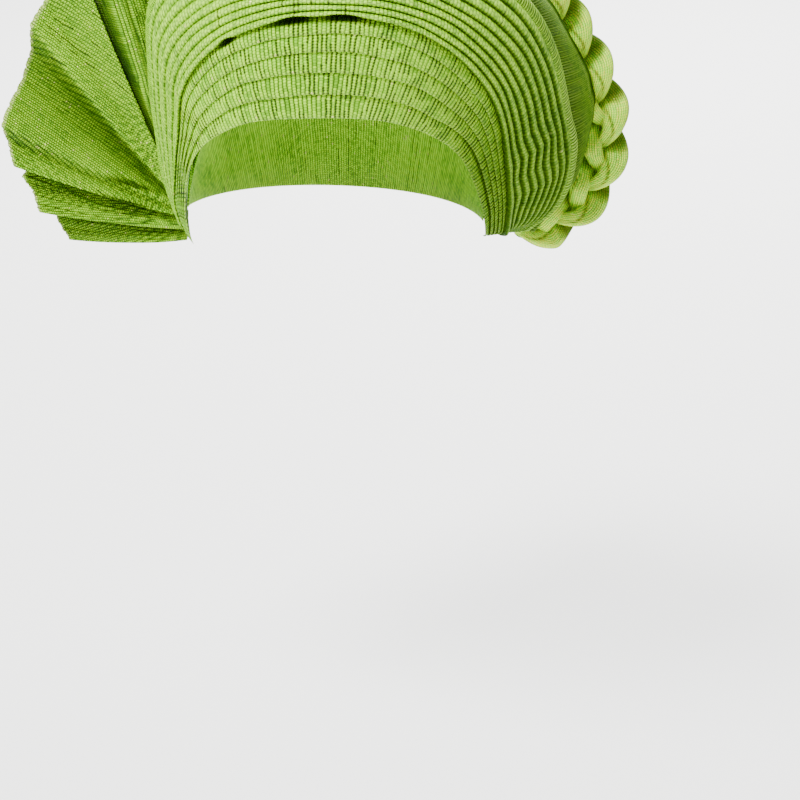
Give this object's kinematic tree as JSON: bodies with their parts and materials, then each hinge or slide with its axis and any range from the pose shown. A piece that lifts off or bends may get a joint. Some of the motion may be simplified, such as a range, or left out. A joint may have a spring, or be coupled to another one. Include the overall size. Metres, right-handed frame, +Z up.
{
  "type": "tied gele head tie",
  "caption": "Cloth head tie tied round the head, with a pleated and tiered front, a ruffled fan of cloth at one side and a plaited braid at the other.",
  "frame": {"origin": "middle of the head opening at brow level, where the head tie sits on a head", "axes": "+X to the right of a front view, where the braid hangs; +Y to the back of the head; +Z up"},
  "size_m": [0.3142, 0.1877, 0.2074],
  "materials": {
    "pleated_cloth": "woven lime cloth with a metallic thread",
    "smooth_cloth": "the same cloth, folded flat",
    "fan_cloth": "the same cloth, starched, with a pale selvedge",
    "braid_cloth": "the same cloth, twisted into strands"
  },
  "bodies": {
    "root": {"front_tier_1": "pleated_cloth", "front_tier_2": "pleated_cloth", "front_tier_3": "pleated_cloth", "front_tier_4": "pleated_cloth", "front_tier_5": "pleated_cloth", "fine_pleats": "pleated_cloth", "side_wing": "smooth_cloth", "crown_fold_1": "smooth_cloth", "crown_fold_2": "smooth_cloth", "crown_fold_3": "smooth_cloth", "nape_band": "smooth_cloth", "fan_leaf_1": "fan_cloth", "fan_leaf_2": "fan_cloth", "fan_leaf_3": "fan_cloth", "fan_leaf_4": "fan_cloth", "braid_strand_1": "braid_cloth", "braid_strand_2": "braid_cloth", "braid_strand_3": "braid_cloth"}
  },
  "joints": []
}
